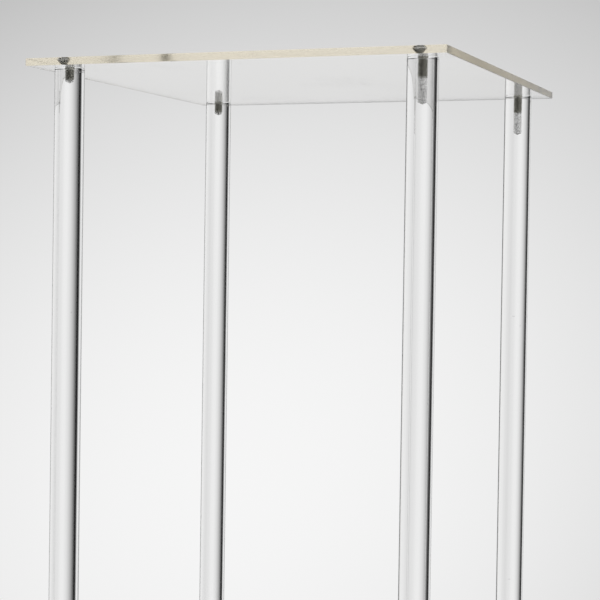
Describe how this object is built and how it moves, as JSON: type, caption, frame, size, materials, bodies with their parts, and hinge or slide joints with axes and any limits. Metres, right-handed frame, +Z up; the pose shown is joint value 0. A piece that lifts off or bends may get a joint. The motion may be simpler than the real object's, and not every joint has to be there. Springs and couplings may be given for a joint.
{
  "type": "acrylic display stand",
  "caption": "Tall open display stand: a square clear acrylic plate carried by round clear rods that are screwed to it and to a matching base plate.",
  "frame": {"origin": "on the surface that the feet stand on, below the centre of the stand", "axes": "+Z up along the rods, +X to the right and +Y to the back, both along the sides of the square plates"},
  "size_m": [0.26, 0.26, 0.5129],
  "materials": {
    "sheet_acrylic": "polished",
    "rod_acrylic": "polished",
    "screw_steel": "satin",
    "bumper": "satin"
  },
  "bodies": {
    "root": {"top_plate": "sheet_acrylic", "base_plate": "sheet_acrylic", "rod_front_left": "rod_acrylic", "rod_front_right": "rod_acrylic", "rod_back_left": "rod_acrylic", "rod_back_right": "rod_acrylic", "top_screw_front_left": "screw_steel", "top_screw_front_right": "screw_steel", "top_screw_back_left": "screw_steel", "top_screw_back_right": "screw_steel", "base_screw_front_left": "screw_steel", "base_screw_front_right": "screw_steel", "base_screw_back_left": "screw_steel", "base_screw_back_right": "screw_steel", "foot_front_left": "bumper", "foot_front_right": "bumper", "foot_back_left": "bumper", "foot_back_right": "bumper"}
  },
  "joints": []
}
